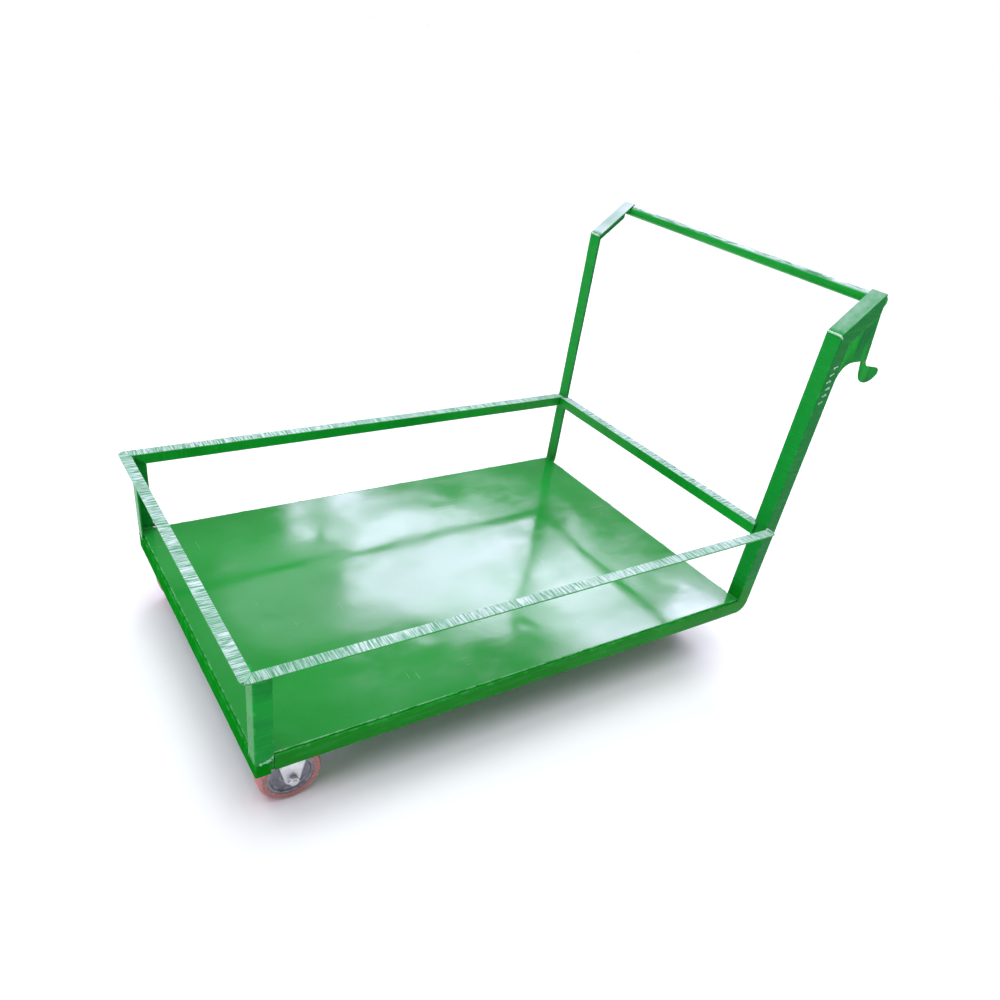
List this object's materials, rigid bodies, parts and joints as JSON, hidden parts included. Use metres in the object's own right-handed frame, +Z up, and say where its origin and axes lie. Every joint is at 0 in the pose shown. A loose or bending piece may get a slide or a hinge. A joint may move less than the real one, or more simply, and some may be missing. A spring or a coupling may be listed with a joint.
{
  "type": "platform trolley",
  "caption": "Low steel platform trolley with a flat sheet deck, an angle-bar guard rail, a fixed bent-back handle with a pipe grip, fixed casters in front and swivel casters at the handle.",
  "frame": {"origin": "on the floor, under the middle of the whole trolley's plan", "axes": "+X along the deck towards the handle, +Y across it, away from the side with the gusset plate and hook, +Z up"},
  "size_m": [1.401, 0.815, 0.9012],
  "materials": {
    "green_enamel": "glossy green enamel, brushed on by hand, with streaks and a few drips at the welds",
    "zinc_plate": "bright zinc plating on pressed steel, slightly dulled",
    "wheel_iron": "dark grey cast iron, turned at the hub face",
    "wheel_tread": "satin red polyurethane tread, scuffed where it rolls"
  },
  "bodies": {
    "frame": {"deck_sheet": "green_enamel", "side_and_handle_bar_near": "green_enamel", "side_and_handle_bar_far": "green_enamel", "grip_pipe": "green_enamel", "handle_gusset": "green_enamel", "side_hook": "green_enamel", "front_bar": "green_enamel", "rear_bar": "green_enamel", "cross_bar_1": "green_enamel", "cross_bar_2": "green_enamel", "cross_bar_3": "green_enamel", "cross_bar_4": "green_enamel", "front_post_near": "green_enamel", "front_post_far": "green_enamel", "guard_rail_near": "green_enamel", "guard_rail_front": "green_enamel", "guard_rail_far": "green_enamel", "guard_rail_rear": "green_enamel", "caster_pad_front_near": "green_enamel", "caster_pad_front_far": "green_enamel", "caster_pad_rear_near": "green_enamel", "caster_pad_rear_far": "green_enamel", "fixed_fork_front_near": "zinc_plate", "axle_bolt_front_near": "zinc_plate", "axle_nut_front_near": "zinc_plate", "axle_bush_front_near": "zinc_plate", "fixed_fork_front_far": "zinc_plate", "axle_bolt_front_far": "zinc_plate", "axle_nut_front_far": "zinc_plate", "axle_bush_front_far": "zinc_plate", "swivel_plate_rear_near": "zinc_plate", "swivel_race_rear_near": "zinc_plate", "king_pin_rear_near": "zinc_plate", "swivel_plate_rear_far": "zinc_plate", "swivel_race_rear_far": "zinc_plate", "king_pin_rear_far": "zinc_plate"},
    "swivel_rear_near": {"swivel_fork_rear_near": "zinc_plate", "axle_bolt_rear_near": "zinc_plate", "axle_nut_rear_near": "zinc_plate", "axle_bush_rear_near": "zinc_plate"},
    "swivel_rear_far": {"swivel_fork_rear_far": "zinc_plate", "axle_bolt_rear_far": "zinc_plate", "axle_nut_rear_far": "zinc_plate", "axle_bush_rear_far": "zinc_plate"},
    "wheel_front_near": {"wheel_core_front_near": "wheel_iron", "wheel_tyre_front_near": "wheel_tread"},
    "wheel_front_far": {"wheel_core_front_far": "wheel_iron", "wheel_tyre_front_far": "wheel_tread"},
    "wheel_rear_near": {"wheel_core_rear_near": "wheel_iron", "wheel_tyre_rear_near": "wheel_tread"},
    "wheel_rear_far": {"wheel_core_rear_far": "wheel_iron", "wheel_tyre_rear_far": "wheel_tread"}
  },
  "joints": [
    {"name": "spin_front_near", "type": "hinge", "parent": "frame", "child": "wheel_front_near", "pos_m": [-0.5955, -0.3265, 0.0625], "axis": [0, 1, 0], "continuous": true},
    {"name": "spin_front_far", "type": "hinge", "parent": "frame", "child": "wheel_front_far", "pos_m": [-0.5955, 0.3515, 0.0625], "axis": [0, 1, 0], "continuous": true},
    {"name": "steer_rear_near", "type": "hinge", "parent": "frame", "child": "swivel_rear_near", "pos_m": [0.4165, -0.2325, 0.145], "axis": [0, 0, 1], "continuous": true},
    {"name": "spin_rear_near", "type": "hinge", "parent": "swivel_rear_near", "child": "wheel_rear_near", "pos_m": [0.4565, -0.2325, 0.0625], "axis": [0, 1, 0], "continuous": true},
    {"name": "steer_rear_far", "type": "hinge", "parent": "frame", "child": "swivel_rear_far", "pos_m": [0.4165, 0.2575, 0.145], "axis": [0, 0, 1], "continuous": true},
    {"name": "spin_rear_far", "type": "hinge", "parent": "swivel_rear_far", "child": "wheel_rear_far", "pos_m": [0.4565, 0.2575, 0.0625], "axis": [0, 1, 0], "continuous": true}
  ]
}
